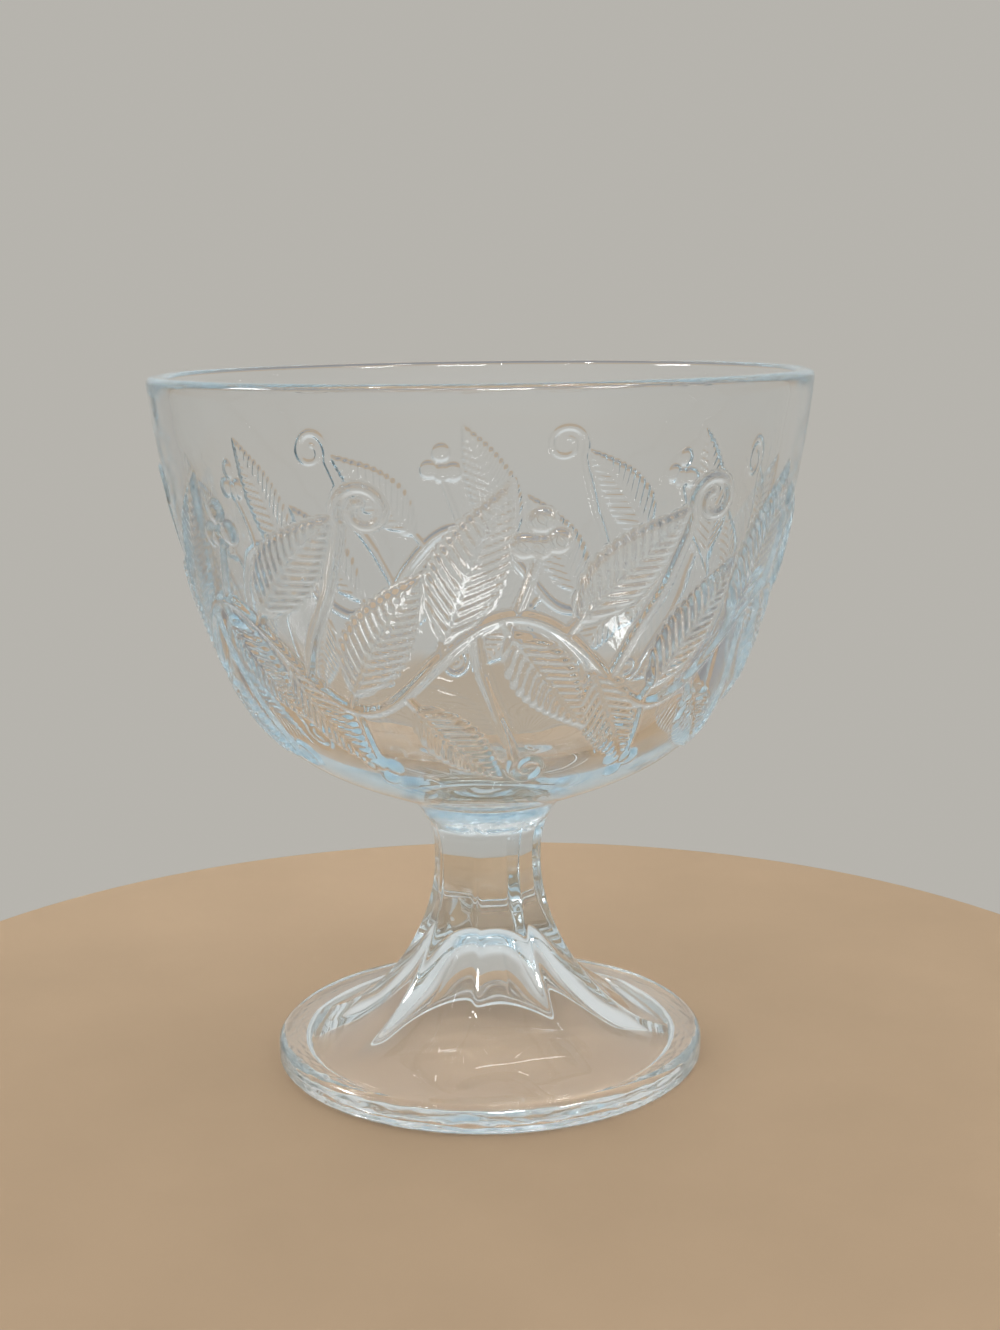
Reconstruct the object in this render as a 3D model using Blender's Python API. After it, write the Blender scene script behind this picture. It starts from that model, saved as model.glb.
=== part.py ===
"""Footed dessert bowl of clear pressed glass.

A deep bowl ends below in a turned collar. An eight-sided stem is fused to that collar and flares into
a round foot that is hollow underneath. The foot stands on z = 0 and the axis of the piece is Z.
"""

import math

import bmesh
import bpy

# Driving sizes, in metres
OVERALL_HEIGHT = 0.115
RIM_RADIUS = 0.053
RIM_WALL = 0.003
LIP_HEIGHT = 0.001
BELLY_RADIUS = 0.0422
BELLY_HEIGHT = 0.0686
BASE_WALL = 0.0055
COLLAR_TOP_RADIUS = 0.014
COLLAR_TOP_HEIGHT = 0.0456
SEAM_RADIUS = 0.0102
SEAM_HEIGHT = 0.041
SEAM_GAP = 0.0003
STEM_SHOULDER = 0.0003
WAIST_RADIUS = 0.0091
WAIST_HEIGHT = 0.034
PANEL_FULL_RADIUS = 0.0258
PANEL_END_RADIUS = 0.0338
FOOT_RADIUS = 0.036
FOOT_EDGE = 0.0046
FOOT_EDGE_ROUND = 0.0016
FOOT_BASE_ROUND = 0.0012
BEARING_WIDTH = 0.0038
STEP_WIDTH = 0.0015
STEP_HEIGHT = 0.0011
HOLLOW_CAP_RADIUS = 0.0114
HOLLOW_CAP_HEIGHT = 0.0126
HOLLOW_HEIGHT = 0.0209

# Slopes of the outline, as angles from straight down, and the fullness of its curves
RIM_LEAN = math.radians(5.0)
BELLY_LEAN = math.radians(23.5)
UNDERSIDE_LEAN = math.radians(69.0)
SEAM_LEAN = math.radians(15.0)
STEP_LEAN = math.radians(160.0)
HOLLOW_LEAN = math.radians(114.0)
HOLLOW_CAP_LEAN = math.radians(132.0)
WALL_FULLNESS = 0.28
UNDERSIDE_FULLNESS = 0.43
COLLAR_FULLNESS = 0.30
STEM_FULLNESS = 0.45
FLARE_FULLNESS = 0.359
STEP_FULLNESS = 0.40
HOLLOW_FULLNESS = 0.53
HOLLOW_CAP_FULLNESS = 0.40

# Relief: the leaves of a scroll that repeats round the wall, laid out on the wall as if unrolled
RELIEF_REPEATS = 6
RELIEF_RADIUS = 0.047
RELIEF_FOOT = 0.076
REPEAT_WIDTH = 2 * math.pi * RELIEF_RADIUS / RELIEF_REPEATS
VINE_MIDDLE = 0.036
VINE_SWING = 0.008
PETIOLE = 0.0025
LEAF_RISE = 0.0008
# Each leaf: share of the repeat along the vine, angle in degrees, length, half width, bend
LEAVES = (
    (0.03, 74, 0.026, 0.0056, -0.10),
    (0.40, 52, 0.023, 0.0054, -0.12),
    (0.70, 62, 0.024, 0.0054, -0.10),
    (0.21, -58, 0.022, 0.0052, 0.12),
    (0.47, -64, 0.023, 0.0054, 0.10),
    (0.90, -52, 0.021, 0.0052, 0.12),
)

# Counts
PANELS = 8
STEPS_PER_PANEL = 6
BOWL_STEPS = 72
RELIEF_STEPS = 144


def inward(lean):
    """Direction in the (radius, height) plane that runs down and leans towards the axis."""
    return (-math.sin(lean), -math.cos(lean))


def curve(start, start_way, end, end_way, fullness, count):
    """Points after start, up to end, of a cubic curve that leaves and arrives in the given directions."""
    reach = fullness * math.dist(start, end)
    near = tuple(p + reach * w for p, w in zip(start, start_way))
    far = tuple(p - reach * w for p, w in zip(end, end_way))
    points = []
    for i in range(1, count + 1):
        t = i / count
        weights = ((1 - t) ** 3, 3 * t * (1 - t) ** 2, 3 * t * t * (1 - t), t**3)
        points.append(tuple(sum(w * q for w, q in zip(weights, axis)) for axis in zip(start, near, far, end)))
    return points


def arc(centre, half_width, half_height, start, end, count):
    """Points after the start angle, up to the end angle, of an oval arc in the (radius, height) plane."""
    angles = [start + (end - start) * i / count for i in range(1, count + 1)]
    return [(centre[0] + half_width * math.cos(a), centre[1] + half_height * math.sin(a)) for a in angles]


def outward(outline):
    """Unit normals of the outline, which point out of the glass."""
    normals = []
    last = len(outline) - 1
    for i in range(len(outline)):
        before = outline[max(i - 1, 0)]
        after = outline[min(i + 1, last)]
        run = math.dist(before, after)
        normals.append(((before[1] - after[1]) / run, (after[0] - before[0]) / run))
    return normals


def lip_outline():
    """The oval lip in (radius, height), from the inside over the top to the outer wall."""
    half = RIM_WALL / 2
    centre = (RIM_RADIUS - half, OVERALL_HEIGHT - LIP_HEIGHT)
    tilt = math.atan(LIP_HEIGHT / half * math.tan(RIM_LEAN))
    return arc(centre, half, LIP_HEIGHT, math.pi - tilt, -tilt, 6)


def wall_outline(upper_count, lower_count):
    """The bowl's outer wall without its relief, from the lip down to the collar."""
    rim = lip_outline()[-1]
    belly = (BELLY_RADIUS, BELLY_HEIGHT)
    collar_top = (COLLAR_TOP_RADIUS, COLLAR_TOP_HEIGHT)
    wall = [rim]
    wall += curve(rim, inward(RIM_LEAN), belly, inward(BELLY_LEAN), WALL_FULLNESS, upper_count)
    wall += curve(belly, inward(BELLY_LEAN), collar_top, inward(UNDERSIDE_LEAN), UNDERSIDE_FULLNESS, lower_count)
    return wall


def inside_outline():
    """The bowl's inside from the axis up to the lip. Its bottom is a shallow dish that meets the axis level."""
    wall = wall_outline(6, 7)
    last = len(wall) - 1
    inside = []
    for i, ((radius, height), normal) in enumerate(zip(wall, outward(wall))):
        thickness = RIM_WALL + (BASE_WALL - RIM_WALL) * i / last
        inside.append((radius - thickness * normal[0], height - thickness * normal[1]))
    dish_radius, dish_height = inside[-1]
    dish_slope = 1 / math.tan(UNDERSIDE_LEAN)
    bottom = dish_height - dish_slope * dish_radius / 2
    dish = [(0, bottom)]
    for share in (1 / 3, 2 / 3):
        dish.append((dish_radius * share, bottom + dish_slope * dish_radius * share**2 / 2))
    return dish + inside[::-1]


def collar_outline():
    """The collar from the bowl's underside down to the seam, which closes the bowl to the axis."""
    collar_top = (COLLAR_TOP_RADIUS, COLLAR_TOP_HEIGHT)
    seam = (SEAM_RADIUS, SEAM_HEIGHT)
    collar = curve(collar_top, inward(UNDERSIDE_LEAN), seam, inward(SEAM_LEAN), COLLAR_FULLNESS, 5)
    return [collar_top] + collar + [(0, SEAM_HEIGHT)]


def leaf(x, y, length, half_width, bend):
    """Height of a pointed leaf that lies along x from the origin, swollen towards its middle line."""
    if not 0 < x < length:
        return 0
    share = x / length
    away = abs(y - bend * length * share**2)
    reach = half_width * math.sin(math.pi * share**0.8) ** 0.9 * (1 - 0.15 * share)
    return LEAF_RISE * max(1 - (away / reach) ** 2, 0)


def relief(turn, along):
    """Height of the relief at an angle round the axis and a distance down the wall from the lip."""
    x = turn * RELIEF_RADIUS % REPEAT_WIDTH
    y = RELIEF_FOOT - along
    height = 0
    for share, degrees, length, half_width, bend in LEAVES:
        vine = VINE_MIDDLE + VINE_SWING * math.sin(2 * math.pi * share)
        way = (math.cos(math.radians(degrees)), math.sin(math.radians(degrees)))
        above = y - vine - PETIOLE * way[1]
        for repeat in (-1, 0, 1):
            across = x - (share + repeat) * REPEAT_WIDTH - PETIOLE * way[0]
            along_leaf = across * way[0] + above * way[1]
            beside_leaf = above * way[0] - across * way[1]
            height = max(height, leaf(along_leaf, beside_leaf, length, half_width, bend))
    return height


def pedestal_outline():
    """Outline of the pedestal's creases in (radius, height), from the seam down the stem to the hollow."""
    top_height = SEAM_HEIGHT - SEAM_GAP
    top = (SEAM_RADIUS - STEM_SHOULDER, top_height)
    waist = (WAIST_RADIUS, WAIST_HEIGHT)
    edge_top = (FOOT_RADIUS - FOOT_EDGE_ROUND, FOOT_EDGE)
    edge_centre = (edge_top[0], FOOT_EDGE - FOOT_EDGE_ROUND)
    base_centre = (FOOT_RADIUS - FOOT_BASE_ROUND, FOOT_BASE_ROUND)
    bearing_edge = (base_centre[0] - BEARING_WIDTH, 0)
    step_top = (bearing_edge[0] - STEP_WIDTH, STEP_HEIGHT)
    cap_edge = (HOLLOW_CAP_RADIUS, HOLLOW_CAP_HEIGHT)
    hollow_way = inward(HOLLOW_LEAN)
    cap_way = inward(HOLLOW_CAP_LEAN)

    outline = [(0, top_height), top]
    outline += curve(top, inward(SEAM_LEAN), waist, inward(0), STEM_FULLNESS, 4)
    outline += curve(waist, inward(0), edge_top, (1, 0), FLARE_FULLNESS, 14)
    outline += arc(edge_centre, FOOT_EDGE_ROUND, FOOT_EDGE_ROUND, math.pi / 2, 0, 3)
    outline.append((FOOT_RADIUS, FOOT_BASE_ROUND))
    outline += arc(base_centre, FOOT_BASE_ROUND, FOOT_BASE_ROUND, 0, -math.pi / 2, 3)
    outline.append(bearing_edge)
    outline += curve(bearing_edge, inward(STEP_LEAN), step_top, hollow_way, STEP_FULLNESS, 3)
    outline += curve(step_top, hollow_way, cap_edge, cap_way, HOLLOW_FULLNESS, 8)
    outline += curve(cap_edge, cap_way, (0, HOLLOW_HEIGHT), (-1, 0), HOLLOW_CAP_FULLNESS, 5)
    return outline


def round_ring(radius, height, steps):
    """A level circle of points, or its middle point where the outline meets the axis."""
    if radius == 0:
        return [(0, 0, height)]
    turns = [2 * math.pi * i / steps for i in range(steps)]
    return [(radius * math.sin(a), -radius * math.cos(a), height) for a in turns]


def relief_rings(outline):
    """Rings of the wall between its ends, raised where the leaves stand on it."""
    rings = []
    normals = outward(outline)
    along = 0
    for i in range(1, len(outline) - 1):
        radius, height = outline[i]
        normal = normals[i]
        along += math.dist(outline[i - 1], outline[i])
        ring = []
        for step in range(RELIEF_STEPS):
            turn = 2 * math.pi * step / RELIEF_STEPS
            rise = relief(turn, along)
            raised = radius + rise * normal[0]
            ring.append((raised * math.sin(turn), -raised * math.cos(turn), height + rise * normal[1]))
        rings.append(ring)
    return rings


def panelled_ring(radius, height, flatness):
    """A level ring with a crease at each panel's edge: an octagon at flatness 1 and a circle at 0."""
    ring = round_ring(radius, height, PANELS * STEPS_PER_PANEL)
    if radius == 0:
        return ring
    half_panel = math.pi / PANELS
    points = []
    for i, (x, y, z) in enumerate(ring):
        from_crease = 2 * half_panel * (i % STEPS_PER_PANEL) / STEPS_PER_PANEL
        chord = math.cos(half_panel) / math.cos(from_crease - half_panel)
        share = 1 + (chord - 1) * flatness
        points.append((x * share, y * share, z))
    return points


def panel_flatness(radius):
    """How flat the panels are where their creases stand at this radius."""
    faded = (radius - PANEL_FULL_RADIUS) / (PANEL_END_RADIUS - PANEL_FULL_RADIUS)
    faded = min(max(faded, 0), 1)
    return 1 - faded * faded * (3 - 2 * faded)


def clear_glass(name, tint):
    """Polished clear glass with a faint tint."""
    material = bpy.data.materials.new(name)
    material.use_nodes = True
    shader = material.node_tree.nodes["Principled BSDF"]
    shader.inputs["Base Color"].default_value = (*tint, 1)
    shader.inputs["Roughness"].default_value = 0.03
    shader.inputs["Metallic"].default_value = 0
    shader.inputs["IOR"].default_value = 1.5
    shader.inputs["Transmission Weight"].default_value = 1
    return material


def bridge(mesh, upper, lower):
    """Faces between two rings, where one has a whole number of points for each of the other's."""
    steps = max(len(upper), len(lower))
    for i in range(steps):
        corners = (
            upper[i * len(upper) // steps],
            lower[i * len(lower) // steps],
            lower[(i + 1) * len(lower) // steps % len(lower)],
            upper[(i + 1) * len(upper) // steps % len(upper)],
        )
        mesh.faces.new(dict.fromkeys(corners))


def solid(name, rings, material):
    """A closed object skinned over a run of rings that starts and ends on the axis."""
    mesh = bmesh.new()
    loops = [[mesh.verts.new(point) for point in ring] for ring in rings]
    for upper, lower in zip(loops, loops[1:]):
        bridge(mesh, upper, lower)
    bmesh.ops.recalc_face_normals(mesh, faces=mesh.faces)
    data = bpy.data.meshes.new(name)
    mesh.to_mesh(data)
    mesh.free()
    data.shade_smooth()
    data.set_sharp_from_angle(angle=math.radians(25))
    data.materials.append(material)
    item = bpy.data.objects.new(name, data)
    bpy.context.scene.collection.objects.link(item)
    return item


def make_bowl():
    inner = inside_outline() + lip_outline()
    wall = wall_outline(18, 11)
    rings = [round_ring(radius, height, BOWL_STEPS) for radius, height in inner]
    rings += relief_rings(wall)
    rings += [round_ring(radius, height, BOWL_STEPS) for radius, height in collar_outline()]
    return solid("bowl", rings, clear_glass("bowl_glass", (0.93, 0.95, 0.96)))


def make_pedestal():
    rings = []
    outside = True
    for radius, height in pedestal_outline():
        flatness = panel_flatness(radius) if outside else 0
        rings.append(panelled_ring(radius, height, flatness))
        outside = outside and height > 0
    return solid("pedestal", rings, clear_glass("pedestal_glass", (0.92, 0.94, 0.95)))


def main():
    for item in list(bpy.data.objects):
        bpy.data.objects.remove(item)
    make_bowl()
    make_pedestal()


main()
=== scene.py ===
"""Looks of the footed dessert bowl: clear pressed glass with a leaf relief, on a pale studio floor."""

import math

import bpy
import numpy as np
from mathutils import Matrix, Vector


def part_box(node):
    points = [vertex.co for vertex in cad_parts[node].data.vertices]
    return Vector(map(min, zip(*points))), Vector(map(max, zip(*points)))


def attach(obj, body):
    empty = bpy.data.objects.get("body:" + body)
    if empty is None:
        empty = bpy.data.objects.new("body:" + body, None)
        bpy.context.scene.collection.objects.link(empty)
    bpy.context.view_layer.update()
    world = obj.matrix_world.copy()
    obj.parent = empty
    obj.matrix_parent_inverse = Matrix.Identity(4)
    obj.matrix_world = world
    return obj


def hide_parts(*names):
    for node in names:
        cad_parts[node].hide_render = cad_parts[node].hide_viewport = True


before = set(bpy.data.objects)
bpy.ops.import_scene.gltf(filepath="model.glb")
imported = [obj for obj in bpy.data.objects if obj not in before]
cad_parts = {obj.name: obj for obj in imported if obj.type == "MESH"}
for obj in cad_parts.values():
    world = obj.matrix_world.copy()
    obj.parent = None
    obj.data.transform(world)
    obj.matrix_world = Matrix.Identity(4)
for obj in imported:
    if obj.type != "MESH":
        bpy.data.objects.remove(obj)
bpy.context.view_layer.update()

MM = 0.001

# Driving sizes that the frame gives
OVERALL_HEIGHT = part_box("bowl")[1].z
RIM_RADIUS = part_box("bowl")[1].x
SEAM_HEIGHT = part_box("bowl")[0].z
FOOT_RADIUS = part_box("pedestal")[1].x

# Sizes and slopes of the outline, as in the part's source
RIM_WALL = 3.0 * MM
LIP_HEIGHT = 1.0 * MM
BELLY_RADIUS = 42.2 * MM
BELLY_HEIGHT = 68.6 * MM
BASE_WALL = 5.5 * MM
COLLAR_TOP_RADIUS = 14.0 * MM
COLLAR_TOP_HEIGHT = 45.6 * MM
SEAM_RADIUS = 10.2 * MM
STEM_SHOULDER = 0.3 * MM
WAIST_RADIUS = 9.1 * MM
WAIST_HEIGHT = 34.0 * MM
PANELS = 8
PANEL_TOP_FADE = 1.4 * MM
PANEL_FULL_RADIUS = 25.8 * MM
PANEL_END_RADIUS = 33.8 * MM
FOOT_EDGE = 4.6 * MM
FOOT_EDGE_ROUND = 1.6 * MM
FOOT_BASE_ROUND = 1.2 * MM
BEARING_WIDTH = 3.8 * MM
STEP_WIDTH = 1.5 * MM
STEP_HEIGHT = 1.1 * MM
HOLLOW_CAP_RADIUS = 11.4 * MM
HOLLOW_CAP_HEIGHT = 12.6 * MM
HOLLOW_HEIGHT = 20.9 * MM
RIM_LEAN = math.radians(5.0)
BELLY_LEAN = math.radians(23.5)
UNDERSIDE_LEAN = math.radians(69.0)
SEAM_LEAN = math.radians(15.0)
STEP_LEAN = math.radians(160.0)
HOLLOW_LEAN = math.radians(114.0)
HOLLOW_CAP_LEAN = math.radians(132.0)
WALL_FULLNESS = 0.28
UNDERSIDE_FULLNESS = 0.43
COLLAR_FULLNESS = 0.30
STEM_FULLNESS = 0.45
FLARE_FULLNESS = 0.359
STEP_FULLNESS = 0.40
HOLLOW_FULLNESS = 0.53
HOLLOW_CAP_FULLNESS = 0.40

# Press marks: depth on the collar and on the foot's edge and underside
COLLAR_WAVE = 0.10 * MM
FOOT_WAVE = 0.10 * MM
# Each set of streaks: ripples round the axis, pitch along the outline, and drift
PRESS_MARKS = ((23, 1.3 * MM, 0.0), (-31, 0.9 * MM, 1.1), (41, 2.1 * MM, 2.3), (-17, 1.7 * MM, 4.0))
# How far the streaks wander, in radians, and what is taken from their ripples to count the wanders
WANDER = 1.5
WANDER_SHIFT = 9

# Relief: a leaf scroll that repeats round the wall, laid out in metres on the wall as if unrolled,
# with its foot at a distance down the wall from the lip
RELIEF_REPEATS = 6
RELIEF_RADIUS = 47.0 * MM
RELIEF_FOOT = 76.0 * MM
REPEAT_WIDTH = 2 * math.pi * RELIEF_RADIUS / RELIEF_REPEATS
VINE_MIDDLE = 36.0 * MM
VINE_SWING = 8.0 * MM
VINE_HALF = 1.0 * MM
VINE_RISE = 0.65 * MM

# Leaf form: a lead below 1 puts its widest place nearer the base, then how blunt, tapered and toothed it is
LEAF_LEAD = 0.8
LEAF_BLUNTNESS = 0.9
LEAF_TAPER = 0.15
LEAF_TEETH = 0.10
LEAF_LEAST_HALF = 0.01 * MM
LEAF_RISE = 0.50 * MM
LEAF_EDGE = 1.3 * MM
LEAF_CROWN = 0.3
VEIN_PITCH = 1.65 * MM
VEIN_SLANT = 0.9
VEIN_RISE = 0.32 * MM
VEIN_START = 0.3 * MM
VEIN_FADE = 0.5 * MM
MIDRIB_RISE = 0.25 * MM
MIDRIB_HALF = 0.5 * MM
MIDRIB_TAPER = 0.6
# Each leaf: share of the repeat along the vine, angle in degrees, length, half width, bend
LEAVES = (
    (0.03, 74, 26.0 * MM, 5.6 * MM, -0.10),
    (0.40, 52, 23.0 * MM, 5.4 * MM, -0.12),
    (0.70, 62, 24.0 * MM, 5.4 * MM, -0.10),
    (0.21, -58, 22.0 * MM, 5.2 * MM, 0.12),
    (0.47, -64, 23.0 * MM, 5.4 * MM, 0.10),
    (0.90, -52, 21.0 * MM, 5.2 * MM, 0.12),
)
PETIOLE = 2.5 * MM

# Each sprig of berries: share of the repeat along the vine, and where its stalk ends from there
SPRIGS = (
    (0.25, (3.2 * MM, 9.5 * MM)),
    (0.72, (0.8 * MM, -10.0 * MM)),
)
BERRY_PLACES = ((-2.2 * MM, 1.0 * MM), (2.3 * MM, 1.6 * MM), (0.0, 4.6 * MM), (-0.2 * MM, 0.8 * MM))
BERRY_RADIUS = 1.8 * MM
BERRY_RISE = 0.70 * MM

# Each tendril: share of the repeat along the vine, its bends and its curl's centre from there in
# millimetres, then the curl's radius and turns
TENDRILS = (
    (0.56, ((3.0, 7.0), (7.0, 14.0), (9.6, 21.5)), (13.8, 26.5), 4.2 * MM, -1.35),
    (0.13, ((1.0, -7.0), (3.4, -14.0), (5.8, -20.0)), (9.6, -25.0), 3.8 * MM, 1.35),
)
CURL_POINTS = 36
CURL_START = 0.04
CURL_TIGHTENING = 0.72

# Each kind of ridge: half width at its start, half width at its end, rise
PETIOLE_RIDGE = (0.8 * MM, 0.6 * MM, 0.55 * MM)
STALK_RIDGE = (0.65 * MM, 0.6 * MM, 0.5 * MM)
TENDRIL_RIDGE = (0.85 * MM, 0.5 * MM, 0.5 * MM)

# Mesh density: columns round each zone, and the spacing of rings
INSIDE_COLUMNS = 192
WALL_COLUMNS = 960
PEDESTAL_COLUMNS = 320
INSIDE_STEP = 2.0 * MM
RELIEF_STEP = 0.34 * MM
CREASE_SHARPNESS = 70

# Glass: depth and number of its waves, and the colour that its thickness takes on
GLASS_IOR = 1.51
GLASS_WAVE = 0.08 * MM
GLASS_WAVES_PER_METRE = 90
GLASS_TINT = (0.74, 0.85, 0.90, 1)
GLASS_TINT_DENSITY = 20

# Stage
FLOOR_RADIUS = 125.0 * MM
FLOOR_SIDES = 128
FLOOR_GAP = 0.1 * MM
FLOOR_COLOUR = (0.59, 0.437, 0.303, 1)
FLOOR_SHADES = (0.92, 1.08)
FLOOR_MOTTLES_PER_METRE = 30
FLOOR_ROUGHNESS = 0.7
FLOOR_SHINE = 0.05
BACKDROP_COLOUR = (0.47, 0.455, 0.42, 1)
# The world's strength for light on its way to the floor: in the open, and through the glass
FILL_STRENGTH = 1.75
FILL_THROUGH_GLASS = 1.0
# What the glass sees beyond the floor, by elevation in degrees
ROOM_COLOURS = (
    (-34, (0.24, 0.235, 0.24, 1)),
    (-25, (0.36, 0.35, 0.34, 1)),
    (-22, (0.44, 0.355, 0.265, 1)),
    (-17, (0.44, 0.355, 0.265, 1)),
    (-15, BACKDROP_COLOUR),
    (0, BACKDROP_COLOUR),
    (10, (0.69, 0.71, 0.70, 1)),
    (40, (0.66, 0.69, 0.68, 1)),
    (70, (0.46, 0.57, 0.63, 1)),
)
# The room is darker to the left and right: how far sideways that starts, and the share of light at the end
SIDE_SHADE_START = 0.55
SIDE_SHADE = 0.75
# Ceiling panels that make the small glints: places across and along, height, size and watts of each
PANEL_PLACES = ((-0.34, -0.40), (-0.06, -0.48), (0.22, -0.42), (-0.25, 0.10), (0.12, 0.22), (0.45, 0.0))
PANEL_HEIGHT = 0.85
PANEL_SIZE = (0.10, 0.016)
PANEL_WATTS = 0.4
# Windows that make the sparkles on the relief: places across, along and up, size and watts of each
WINDOW_PLACES = ((0.27, -0.82, 0.80), (-1.0, -0.14, 0.74), (1.0, -0.65, 1.05))
WINDOW_SIZE = (0.32, 0.20)
WINDOW_WATTS = 7
# Light that is caught in the glass is followed this many times before it is dropped
LIGHT_BOUNCES = 48
# Where a Mix node set to colours has its two colours and its result
MIX_FIRST, MIX_SECOND, MIX_RESULT = 6, 7, 2

# Camera, from the photograph's perspective: picture height and focal length in pixels, angles in radians
IMAGE_HEIGHT = 1330
FOCAL_PIXELS = 1880.7
SENSOR_WIDTH = 36
CAMERA_DISTANCE = 5.764 * RIM_RADIUS
CAMERA_HEIGHT = 2.3678 * RIM_RADIUS
CAMERA_AZIMUTH = math.radians(9.6)
CAMERA_YAW = 0.0082
CAMERA_PITCH = 0.1899
CAMERA_ROLL = -0.013


def inward(lean):
    """Direction in the (radius, height) plane that runs down and leans towards the axis."""
    return (-math.sin(lean), -math.cos(lean))


def curve(start, start_way, end, end_way, fullness, count=200):
    """Points of a cubic curve that leaves and arrives in the given directions."""
    start, end = np.array(start), np.array(end)
    reach = fullness * np.linalg.norm(end - start)
    near = start + reach * np.array(start_way)
    far = end - reach * np.array(end_way)
    t = np.linspace(0, 1, count)[:, None]
    return start * (1 - t) ** 3 + near * 3 * t * (1 - t) ** 2 + far * 3 * t * t * (1 - t) + end * t**3


def arc(centre, radii, start, end, count):
    """Points of an arc in the (radius, height) plane, oval where two radii are given."""
    angles = np.linspace(start, end, count)
    return np.array(centre) + np.array(radii) * np.stack((np.cos(angles), np.sin(angles)), 1)


def lengths(points):
    """Distance along a run of points, from its start to each point."""
    return np.concatenate(((0,), np.cumsum(np.linalg.norm(np.diff(points, axis=0), axis=1))))


def resample(points, step):
    """Evenly spaced points along a run of points, about a step apart."""
    along = lengths(points)
    places = np.linspace(0, along[-1], int(round(along[-1] / step)) + 1)
    return np.stack([np.interp(places, along, points[:, k]) for k in (0, 1)], 1)


def left_normals(points):
    """Unit normals of a run of points, on the left of its direction, which is outside the glass."""
    along = np.gradient(points, axis=0)
    along /= np.linalg.norm(along, axis=1)[:, None]
    return np.stack((-along[:, 1], along[:, 0]), 1)


def smooth(value):
    """A smooth step from 0 to 1."""
    value = np.clip(value, 0, 1)
    return value * value * (3 - 2 * value)


def lip_outline():
    """The rounded lip, from the inside over the top to the outer wall."""
    half = RIM_WALL / 2
    tilt = math.atan(LIP_HEIGHT / half * math.tan(RIM_LEAN))
    centre = (RIM_RADIUS - half, OVERALL_HEIGHT - LIP_HEIGHT)
    return arc(centre, (half, LIP_HEIGHT), math.pi - tilt, -tilt, 14)


def wall_outline():
    """The bowl's outer wall from the lip down to the collar, without its relief."""
    rim = lip_outline()[-1]
    belly = (BELLY_RADIUS, BELLY_HEIGHT)
    collar = (COLLAR_TOP_RADIUS, COLLAR_TOP_HEIGHT)
    wall = curve(rim, inward(RIM_LEAN), belly, inward(BELLY_LEAN), WALL_FULLNESS)
    underside = curve(belly, inward(BELLY_LEAN), collar, inward(UNDERSIDE_LEAN), UNDERSIDE_FULLNESS)
    return resample(np.concatenate((wall, underside[1:])), RELIEF_STEP)


def inside_outline():
    """The bowl's inside from the axis up to the lip, which it leaves out."""
    wall = resample(wall_outline(), INSIDE_STEP)
    thickness = np.linspace(RIM_WALL, BASE_WALL, len(wall))[:, None]
    inside = wall - left_normals(wall) * thickness
    dish_radius, dish_height = inside[-1]
    radii = np.linspace(0, dish_radius, 8)[:-1]
    drop = (dish_radius - radii**2 / dish_radius) / 2 / math.tan(UNDERSIDE_LEAN)
    dish = np.stack((radii, dish_height - drop), 1)
    return np.concatenate((dish, inside[:0:-1]))


def pedestal_outline():
    """Outline of the creases, from the collar down and under to the hollow's top, and how wavy it is."""
    collar_top = (COLLAR_TOP_RADIUS, COLLAR_TOP_HEIGHT)
    seam = (SEAM_RADIUS, SEAM_HEIGHT)
    stem_top = (SEAM_RADIUS - STEM_SHOULDER, SEAM_HEIGHT - 2 * STEM_SHOULDER)
    waist = (WAIST_RADIUS, WAIST_HEIGHT)
    edge_top = (FOOT_RADIUS - FOOT_EDGE_ROUND, FOOT_EDGE)
    edge_centre = (edge_top[0], FOOT_EDGE - FOOT_EDGE_ROUND)
    edge_upper = (FOOT_RADIUS, edge_centre[1])
    base_centre = (FOOT_RADIUS - FOOT_BASE_ROUND, FOOT_BASE_ROUND)
    edge_lower = (FOOT_RADIUS, base_centre[1])
    bearing_edge = (base_centre[0] - BEARING_WIDTH, 0)
    step_top = (bearing_edge[0] - STEP_WIDTH, STEP_HEIGHT)
    cap_edge = (HOLLOW_CAP_RADIUS, HOLLOW_CAP_HEIGHT)
    collar_way = inward(UNDERSIDE_LEAN)
    seam_way = inward(SEAM_LEAN)
    hollow_way = inward(HOLLOW_LEAN)
    cap_way = inward(HOLLOW_CAP_LEAN)
    # Each stretch, with the waviness at its start and end
    stretches = (
        (curve(collar_top, collar_way, seam, seam_way, COLLAR_FULLNESS, 26), 0, COLLAR_WAVE),
        (curve(stem_top, seam_way, waist, inward(0), STEM_FULLNESS, 12), 0, 0),
        (curve(waist, inward(0), edge_top, (1, 0), FLARE_FULLNESS, 40)[1:], 0, 0),
        (arc(edge_centre, FOOT_EDGE_ROUND, math.pi / 2, 0, 12)[1:], 0, FOOT_WAVE),
        (np.linspace(edge_upper, edge_lower, 8)[1:-1], FOOT_WAVE, FOOT_WAVE),
        (arc(base_centre, FOOT_BASE_ROUND, 0, -math.pi / 2, 9), FOOT_WAVE, FOOT_WAVE),
        (np.linspace((base_centre[0], 0), bearing_edge, 20)[1:-1], FOOT_WAVE, FOOT_WAVE),
        (curve(bearing_edge, inward(STEP_LEAN), step_top, hollow_way, STEP_FULLNESS, 9), FOOT_WAVE, 0),
        (curve(step_top, hollow_way, cap_edge, cap_way, HOLLOW_FULLNESS, 30)[1:], 0, 0),
        (curve(cap_edge, cap_way, (0, HOLLOW_HEIGHT), (-1, 0), HOLLOW_CAP_FULLNESS, 18)[1:], 0, 0),
    )
    outline = np.concatenate([points for points, first, last in stretches])
    waviness = np.concatenate([np.linspace(first, last, len(points)) for points, first, last in stretches])
    return outline, waviness


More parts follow.
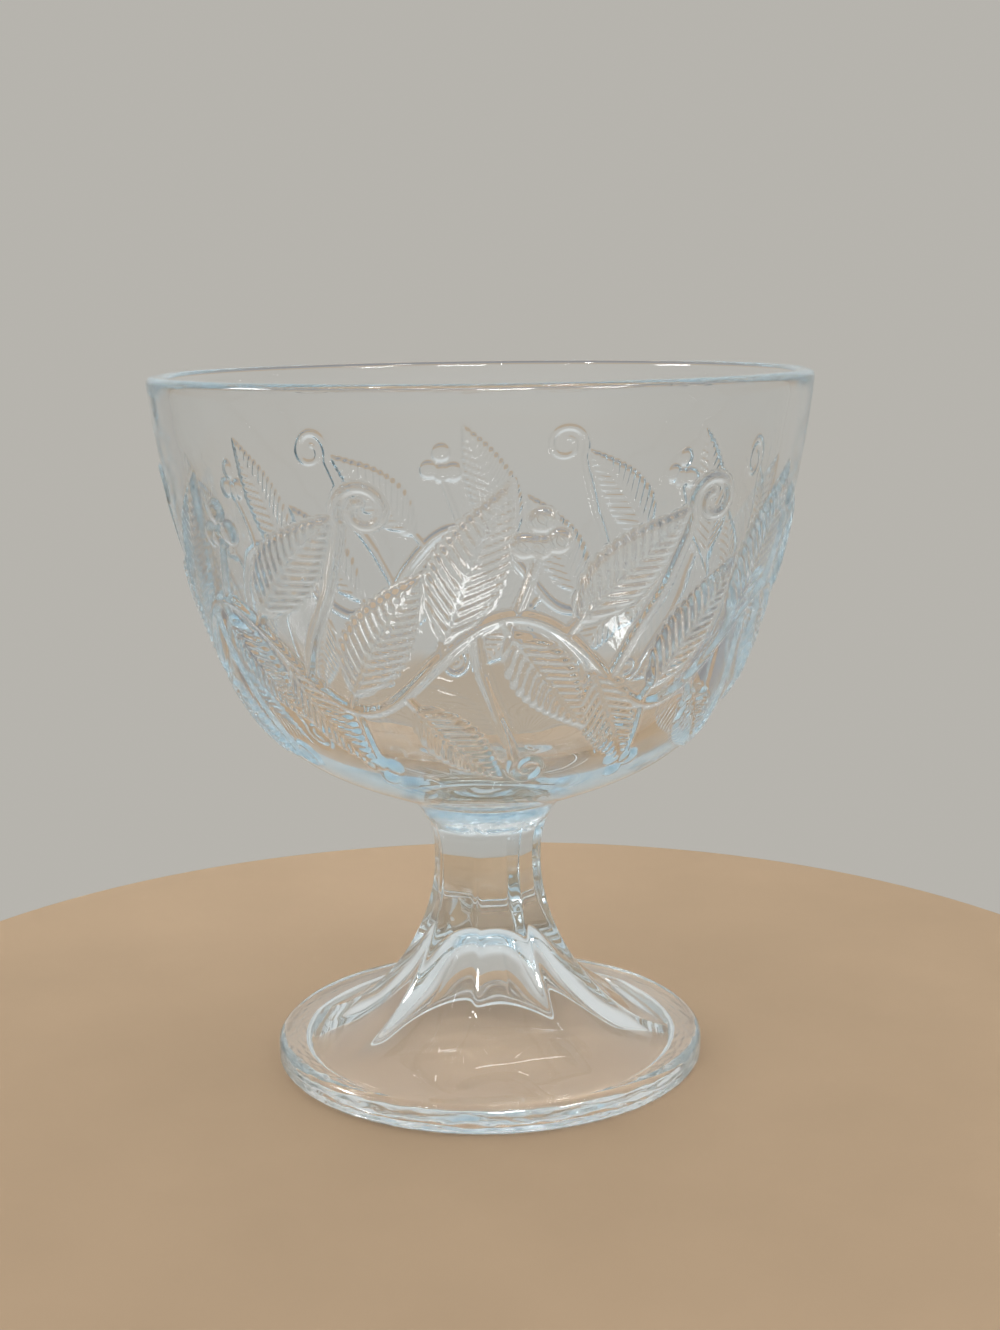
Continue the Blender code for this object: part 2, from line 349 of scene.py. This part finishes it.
def press_marks(turn, along):
    """Streaks that pressing leaves in the glass, long round the axis and short across, from -1 up to 0."""
    marks = np.zeros(np.broadcast(turn, along).shape)
    for ripples, pitch, drift in PRESS_MARKS:
        wander = WANDER * np.sin((ripples - WANDER_SHIFT) * turn)
        marks += np.sin(ripples * turn + drift + 2 * math.pi * along / pitch + wander)
    return (marks / len(PRESS_MARKS) - 1) / 2


def vine_height(x):
    """How high the vine runs on the unrolled wall."""
    return VINE_MIDDLE + VINE_SWING * np.sin(2 * math.pi * x / REPEAT_WIDTH)


def vine_point(share):
    """The vine's point at a share of the repeat."""
    x = share * REPEAT_WIDTH
    return np.array((x, vine_height(x)))


def vine(x, y):
    """Height of the wavy main stem of the scroll."""
    slope = VINE_SWING * 2 * math.pi / REPEAT_WIDTH * np.cos(2 * math.pi * x / REPEAT_WIDTH)
    away = (y - vine_height(x)) / np.sqrt(1 + slope**2)
    return VINE_RISE * np.clip(1 - (away / VINE_HALF) ** 2, 0, 1)


def leaf(x, y, length, half_width, bend):
    """Height of a pointed leaf that lies along x from the origin, with a midrib and feathered veins."""
    share = np.clip(x / length, 0, 1)
    side = y - bend * length * share**2
    away = np.abs(side)
    vein = 0.5 + 0.5 * np.cos(2 * math.pi * (x - VEIN_SLANT * away) / VEIN_PITCH)
    reach = half_width * np.sin(math.pi * share**LEAF_LEAD) ** LEAF_BLUNTNESS * (1 - LEAF_TAPER * share)
    reach = np.maximum(reach * (1 + LEAF_TEETH * (vein - 0.5)), LEAF_LEAST_HALF)
    body = smooth((reach - away) / LEAF_EDGE) * (x > 0) * (x < length)
    crown = 1 - LEAF_CROWN * np.clip(away / reach, 0, 1) ** 2
    veins = VEIN_RISE * vein * smooth((away - VEIN_START) / VEIN_FADE)
    midrib = MIDRIB_RISE * np.exp(-((side / MIDRIB_HALF) ** 2)) * (1 - MIDRIB_TAPER * share)
    return body * (crown * (LEAF_RISE + veins) + midrib)


def ridge(x, y, points, start_half, end_half, rise):
    """Height of a rounded ridge along a run of points, which tapers towards its end."""
    best = np.full(x.shape, 1.0)
    place = np.zeros(x.shape)
    count = len(points) - 1
    for i in range(count):
        start, run = points[i], points[i + 1] - points[i]
        t = np.clip(((x - start[0]) * run[0] + (y - start[1]) * run[1]) / (run @ run), 0, 1)
        away = np.hypot(x - start[0] - t * run[0], y - start[1] - t * run[1])
        nearer = away < best
        best = np.where(nearer, away, best)
        place = np.where(nearer, (i + t) / count, place)
    half = start_half + (end_half - start_half) * place
    return rise * (half / start_half) * np.clip(1 - (best / half) ** 2, 0, 1)


def berry(x, y, centre):
    """Height of a round berry."""
    away = ((x - centre[0]) ** 2 + (y - centre[1]) ** 2) / BERRY_RADIUS**2
    return BERRY_RISE * np.sqrt(np.clip(1 - away, 0, 1))


def tendril_path(root, bends, curl, radius, turns_round):
    """Points of a tendril that leaves the vine and ends in a curl."""
    path = [root] + [root + np.array(bend) * MM for bend in bends]
    centre = root + np.array(curl) * MM
    first = path[-1] - centre
    begin = math.atan2(first[1], first[0])
    for share in np.linspace(CURL_START, 1, CURL_POINTS):
        angle = begin + turns_round * 2 * math.pi * share
        reach = radius * (1 - CURL_TIGHTENING * share)
        path.append(centre + reach * np.array((math.cos(angle), math.sin(angle))))
    return path


def one_repeat(x, y):
    """Height of the leaves, berries and tendrils of one repeat of the scroll."""
    height = np.zeros(x.shape)
    for share, angle, length, half_width, bend in LEAVES:
        root = vine_point(share)
        way = np.array((math.cos(math.radians(angle)), math.sin(math.radians(angle))))
        base = root + PETIOLE * way
        along = (x - base[0]) * way[0] + (y - base[1]) * way[1]
        across = (y - base[1]) * way[0] - (x - base[0]) * way[1]
        height = np.maximum(height, ridge(x, y, [root, base + PETIOLE * way], *PETIOLE_RIDGE))
        height = np.maximum(height, leaf(along, across, length, half_width, bend))
    for share, stalk in SPRIGS:
        root = vine_point(share)
        tip = root + np.array(stalk)
        up = math.copysign(1, stalk[1])
        height = np.maximum(height, ridge(x, y, [root, tip], *STALK_RIDGE))
        for across, above in BERRY_PLACES:
            height = np.maximum(height, berry(x, y, (tip[0] + across, tip[1] + up * above)))
    for share, bends, curl, radius, turns_round in TENDRILS:
        path = tendril_path(vine_point(share), bends, curl, radius, turns_round)
        height = np.maximum(height, ridge(x, y, path, *TENDRIL_RIDGE))
    return height


def relief(turn, along):
    """Height of the relief at an angle round the axis and a distance down the wall from the lip."""
    x = (turn * RELIEF_RADIUS) % REPEAT_WIDTH
    y = RELIEF_FOOT - along
    height = vine(x, y)
    for repeat in (-1, 0, 1):
        height = np.maximum(height, one_repeat(x - repeat * REPEAT_WIDTH, y))
    return height


def turns(columns):
    """Angles of the columns round the axis, from -Y towards +X."""
    return np.arange(columns) * 2 * math.pi / columns


def round_rings(outline, columns, rise=None):
    """Rings of points round the axis, raised from the outline along its normals where a rise is given."""
    radius = outline[:, :1].repeat(columns, 1)
    height = outline[:, 1:].repeat(columns, 1)
    if rise is not None:
        normals = left_normals(outline)
        radius = radius + normals[:, :1] * rise
        height = height + normals[:, 1:] * rise
    angle = turns(columns)[None, :]
    return np.stack((radius * np.sin(angle), -radius * np.cos(angle), height), 2)


def panelled_rings(outline, columns, rise):
    """Rings round the axis whose section is an eight-sided panel form on the stem and round elsewhere."""
    middles = (np.arange(PANELS) + 0.5) * 2 * math.pi / PANELS
    facing = np.clip(np.cos(turns(columns)[:, None] - middles[None, :]), 0, 1)
    octagon = math.cos(math.pi / PANELS) / (facing**CREASE_SHARPNESS).sum(1) ** (1 / CREASE_SHARPNESS)
    lowest = int(np.argmin(outline[:, 1]))
    outside = np.arange(len(outline)) <= lowest
    flat = 1 - smooth((outline[:, 0] - PANEL_FULL_RADIUS) / (PANEL_END_RADIUS - PANEL_FULL_RADIUS))
    flat *= 1 - smooth((outline[:, 1] - SEAM_HEIGHT) / PANEL_TOP_FADE + 0.5)
    share = 1 + (octagon[None, :] - 1) * (flat * outside)[:, None]
    rings = round_rings(outline, columns, rise)
    rings[:, :, :2] *= share[:, :, None]
    return rings


def band_faces(first, rings, columns):
    """Quads between neighbouring rings of equal count, numbered from first."""
    ring, column = np.meshgrid(np.arange(rings - 1), np.arange(columns), indexing="ij")
    beside = (column + 1) % columns
    upper, lower = first + ring * columns, first + (ring + 1) * columns
    quads = np.stack((upper + column, lower + column, lower + beside, upper + beside), 2)
    return quads.reshape(-1, 4).tolist()


def stitch_faces(upper, upper_count, lower, lower_count):
    """Triangles between two rings, where one has a whole number of columns for each of the other's."""
    faces = []
    fine = max(upper_count, lower_count)
    coarse = min(upper_count, lower_count)
    ratio = fine // coarse
    fine_first, coarse_first = (upper, lower) if upper_count == fine else (lower, upper)
    flip = upper_count != fine
    for j in range(coarse):
        left, right = coarse_first + j, coarse_first + (j + 1) % coarse
        row = [fine_first + (j * ratio + k) % fine for k in range(ratio + 1)]
        for k in range(ratio):
            faces.append((row[k], left if k < ratio / 2 else right, row[k + 1]))
        faces.append((row[(ratio + 1) // 2], left, right))
    return [face[::-1] for face in faces] if flip else faces


def pole_faces(pole, ring, columns, first_ring):
    """Triangles that close a ring to a point on the axis."""
    faces = [(pole, ring + j, ring + (j + 1) % columns) for j in range(columns)]
    return faces if first_ring else [face[::-1] for face in faces]


def closed_skin(zones, first_height, last_height):
    """Points and faces of a closed skin through zones of rings, with a point on the axis at either end."""
    points = [np.array([[0, 0, first_height]])]
    faces = []
    first = 1
    before = None
    for rings in zones:
        count, columns = rings.shape[:2]
        if before is None:
            faces += pole_faces(0, first, columns, True)
        else:
            faces += stitch_faces(first - before, before, first, columns)
        faces += band_faces(first, count, columns)
        points.append(rings.reshape(-1, 3))
        first += count * columns
        before = columns
    faces += pole_faces(first, first - before, before, False)
    points.append(np.array([[0, 0, last_height]]))
    return np.concatenate(points).tolist(), faces


def mesh_object(name, points, faces, material):
    """A new object in the scene, made of points and faces in one material."""
    mesh = bpy.data.meshes.new(name)
    mesh.from_pydata(points, [], faces)
    mesh.materials.append(material)
    made = bpy.data.objects.new(name, mesh)
    bpy.context.scene.collection.objects.link(made)
    return made


def glass_body():
    """The fused bowl and pedestal as one closed skin, because no surface is left inside the fused glass."""
    inside = inside_outline()
    wall = wall_outline()
    rise = relief(turns(WALL_COLUMNS)[None, :], lengths(wall)[:, None])
    lip_rings = round_rings(lip_outline()[:-1], WALL_COLUMNS)
    wall_rings = round_rings(wall, WALL_COLUMNS, rise)[:-1]
    pedestal, waviness = pedestal_outline()
    marks = press_marks(turns(PEDESTAL_COLUMNS)[None, :], lengths(pedestal)[:-1, None])
    zones = (
        round_rings(inside[1:], INSIDE_COLUMNS),
        np.concatenate((lip_rings, wall_rings)),
        panelled_rings(pedestal[:-1], PEDESTAL_COLUMNS, waviness[:-1, None] * marks),
    )
    points, faces = closed_skin(zones, inside[0, 1], pedestal[-1, 1])
    body = mesh_object("glass_body", points, faces, pressed_glass())
    body.data.validate()
    body.data.shade_smooth()
    return body


def node(tree, kind, **settings):
    """A new node in a node tree, with its settings."""
    made = tree.nodes.new(kind)
    for name, value in settings.items():
        setattr(made, name, value)
    return made


def node_material(name):
    """A new node material, its node tree and its Principled shader."""
    material = bpy.data.materials.new(name)
    material.use_nodes = True
    tree = material.node_tree
    return material, tree, tree.nodes["Principled BSDF"]


def noise(tree, scale, detail):
    """A noise texture in the object's own metres, which gives a value round one half."""
    place = node(tree, "ShaderNodeTexCoord")
    texture = node(tree, "ShaderNodeTexNoise")
    texture.inputs["Scale"].default_value = scale
    texture.inputs["Detail"].default_value = detail
    tree.links.new(place.outputs["Object"], texture.inputs["Vector"])
    return texture.outputs["Fac"]


def pressed_glass():
    """Clear fire-polished glass, a little wavy, with a faint cool tint in its thickness."""
    material, tree, shader = node_material("pressed_glass")
    shader.inputs["Base Color"].default_value = (1, 1, 1, 1)
    shader.inputs["Roughness"].default_value = 0.0
    shader.inputs["IOR"].default_value = GLASS_IOR
    shader.inputs["Transmission Weight"].default_value = 1
    waves = node(tree, "ShaderNodeBump")
    waves.inputs["Strength"].default_value = 1
    waves.inputs["Distance"].default_value = GLASS_WAVE
    tree.links.new(noise(tree, GLASS_WAVES_PER_METRE, 1), waves.inputs["Height"])
    tree.links.new(waves.outputs["Normal"], shader.inputs["Normal"])
    tint = node(tree, "ShaderNodeVolumeAbsorption")
    tint.inputs["Color"].default_value = GLASS_TINT
    tint.inputs["Density"].default_value = GLASS_TINT_DENSITY
    output = tree.nodes["Material Output"]
    tree.links.new(tint.outputs["Volume"], output.inputs["Volume"])
    return material


def floor_material():
    """Pale warm matt floor with a faint mottle."""
    material, tree, shader = node_material("floor")
    shade = node(tree, "ShaderNodeValToRGB")
    for stop, share in zip(shade.color_ramp.elements, FLOOR_SHADES):
        stop.color = [share * part for part in FLOOR_COLOUR[:3]] + [1]
    tree.links.new(noise(tree, FLOOR_MOTTLES_PER_METRE, 4), shade.inputs["Fac"])
    tree.links.new(shade.outputs["Color"], shader.inputs["Base Color"])
    shader.inputs["Roughness"].default_value = FLOOR_ROUGHNESS
    shader.inputs["Specular IOR Level"].default_value = FLOOR_SHINE
    return material


def make_floor():
    """A round floor just under the foot."""
    angles = np.linspace(0, 2 * math.pi, FLOOR_SIDES, endpoint=False)
    points = [(FLOOR_RADIUS * math.cos(a), FLOOR_RADIUS * math.sin(a), -FLOOR_GAP) for a in angles]
    floor = mesh_object("floor", points, [tuple(range(len(points)))], floor_material())


def room_colour(tree):
    """What the glass sees beyond the floor: colours by elevation, darker to the left and right."""
    direction = node(tree, "ShaderNodeTexCoord")
    split = node(tree, "ShaderNodeSeparateXYZ")
    tree.links.new(direction.outputs["Generated"], split.inputs["Vector"])
    height = node(tree, "ShaderNodeMapRange")
    height.inputs["From Min"].default_value = -1
    tree.links.new(split.outputs["Z"], height.inputs["Value"])
    room = node(tree, "ShaderNodeValToRGB")
    tree.links.new(height.outputs["Result"], room.inputs["Fac"])
    ramp = room.color_ramp.elements
    while len(ramp) < len(ROOM_COLOURS):
        ramp.new(1)
    for stop, (elevation, colour) in zip(ramp, ROOM_COLOURS):
        stop.position = (1 + math.sin(math.radians(elevation))) / 2
        stop.color = colour

    sideways = node(tree, "ShaderNodeMath", operation="ABSOLUTE")
    tree.links.new(split.outputs["X"], sideways.inputs[0])
    shade = node(tree, "ShaderNodeMapRange")
    shade.inputs["From Min"].default_value = SIDE_SHADE_START
    shade.inputs["To Min"].default_value = 1
    shade.inputs["To Max"].default_value = SIDE_SHADE
    tree.links.new(sideways.outputs["Value"], shade.inputs["Value"])
    shaded = node(tree, "ShaderNodeVectorMath", operation="SCALE")
    tree.links.new(room.outputs["Color"], shaded.inputs["Vector"])
    tree.links.new(shade.outputs["Result"], shaded.inputs["Scale"])
    return shaded.outputs["Vector"]


def seen_colour(tree, path, room):
    """The plain backdrop for the camera and for light on its way to the floor, and the room for the rest."""
    plain = node(tree, "ShaderNodeMath", operation="ADD", use_clamp=True)
    tree.links.new(path.outputs["Is Camera Ray"], plain.inputs[0])
    tree.links.new(path.outputs["Diffuse Depth"], plain.inputs[1])
    seen = node(tree, "ShaderNodeMix", data_type="RGBA")
    tree.links.new(plain.outputs["Value"], seen.inputs["Factor"])
    tree.links.new(room, seen.inputs[MIX_FIRST])
    seen.inputs[MIX_SECOND].default_value = BACKDROP_COLOUR
    return seen.outputs[MIX_RESULT]


def fill_strength(tree, path):
    """Strength 1 for what is seen, and the fill's for light on its way to the floor."""
    # The lamps reach the floor through the glass too, so the fill is weaker there
    through = node(tree, "ShaderNodeMapRange")
    through.inputs["To Min"].default_value = FILL_STRENGTH
    through.inputs["To Max"].default_value = FILL_THROUGH_GLASS
    tree.links.new(path.outputs["Is Transmission Ray"], through.inputs["Value"])
    lighting = node(tree, "ShaderNodeMath", operation="GREATER_THAN")
    lighting.inputs[1].default_value = 0.5
    tree.links.new(path.outputs["Diffuse Depth"], lighting.inputs[0])
    strength = node(tree, "ShaderNodeMix")
    tree.links.new(lighting.outputs["Value"], strength.inputs["Factor"])
    strength.inputs["A"].default_value = 1
    tree.links.new(through.outputs["Result"], strength.inputs["B"])
    return strength.outputs["Result"]


def make_world():
    """A plain backdrop that lights the floor evenly, and a room that only glass and shine show."""
    world = bpy.data.worlds.new("studio")
    bpy.context.scene.world = world
    world.use_nodes = True
    tree = world.node_tree
    background = tree.nodes["Background"]
    path = node(tree, "ShaderNodeLightPath")
    tree.links.new(seen_colour(tree, path, room_colour(tree)), background.inputs["Color"])
    tree.links.new(fill_strength(tree, path), background.inputs["Strength"])


def area_light(name, place, aim, size, watts):
    """A lamp for glints on the glass, which the open floor shows only as a faint shine."""
    data = bpy.data.lights.new(name, "AREA")
    data.shape = "RECTANGLE"
    data.size, data.size_y = size
    data.energy = watts
    lamp = bpy.data.objects.new(name, data)
    bpy.context.scene.collection.objects.link(lamp)
    lamp.location = place
    lamp.rotation_euler = (Vector(aim) - Vector(place)).to_track_quat("-Z", "Y").to_euler()
    lamp.visible_diffuse = False


def make_lights():
    """The ceiling panels and windows, all turned to the middle of the bowl."""
    aim = (0, 0, OVERALL_HEIGHT / 2)
    for number, (across, along) in enumerate(PANEL_PLACES):
        place = (across, along, PANEL_HEIGHT)
        area_light(f"ceiling_panel_{number}", place, aim, PANEL_SIZE, PANEL_WATTS)
    for number, place in enumerate(WINDOW_PLACES):
        area_light(f"window_{number}", place, aim, WINDOW_SIZE, WINDOW_WATTS)


def make_camera():
    """A camera at the photograph's viewing angle."""
    forward = Vector((
        math.sin(CAMERA_YAW) * math.cos(CAMERA_PITCH),
        math.cos(CAMERA_YAW) * math.cos(CAMERA_PITCH),
        -math.sin(CAMERA_PITCH),
    ))
    level_right = Vector((math.cos(CAMERA_YAW), -math.sin(CAMERA_YAW), 0))
    level_up = level_right.cross(forward)
    right = level_right * math.cos(CAMERA_ROLL) + level_up * math.sin(CAMERA_ROLL)
    up = level_up * math.cos(CAMERA_ROLL) - level_right * math.sin(CAMERA_ROLL)
    turn = Matrix((right, up, -forward)).transposed().to_4x4()
    data = bpy.data.cameras.new("camera")
    data.sensor_width = SENSOR_WIDTH
    data.lens = SENSOR_WIDTH * FOCAL_PIXELS / IMAGE_HEIGHT
    camera = bpy.data.objects.new("camera", data)
    bpy.context.scene.collection.objects.link(camera)
    place = Matrix.Translation((0, -CAMERA_DISTANCE, CAMERA_HEIGHT))
    camera.matrix_world = Matrix.Rotation(CAMERA_AZIMUTH, 4, "Z") @ place @ turn
    bpy.context.scene.camera = camera


def main():
    """Dress the frame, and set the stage."""
    scene = bpy.context.scene
    scene.view_settings.view_transform = "Standard"
    scene.cycles.max_bounces = LIGHT_BOUNCES
    scene.cycles.glossy_bounces = LIGHT_BOUNCES
    scene.cycles.transmission_bounces = LIGHT_BOUNCES
    body = glass_body()
    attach(body, "root")
    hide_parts("bowl", "pedestal")
    make_floor()
    make_world()
    make_lights()
    make_camera()


main()
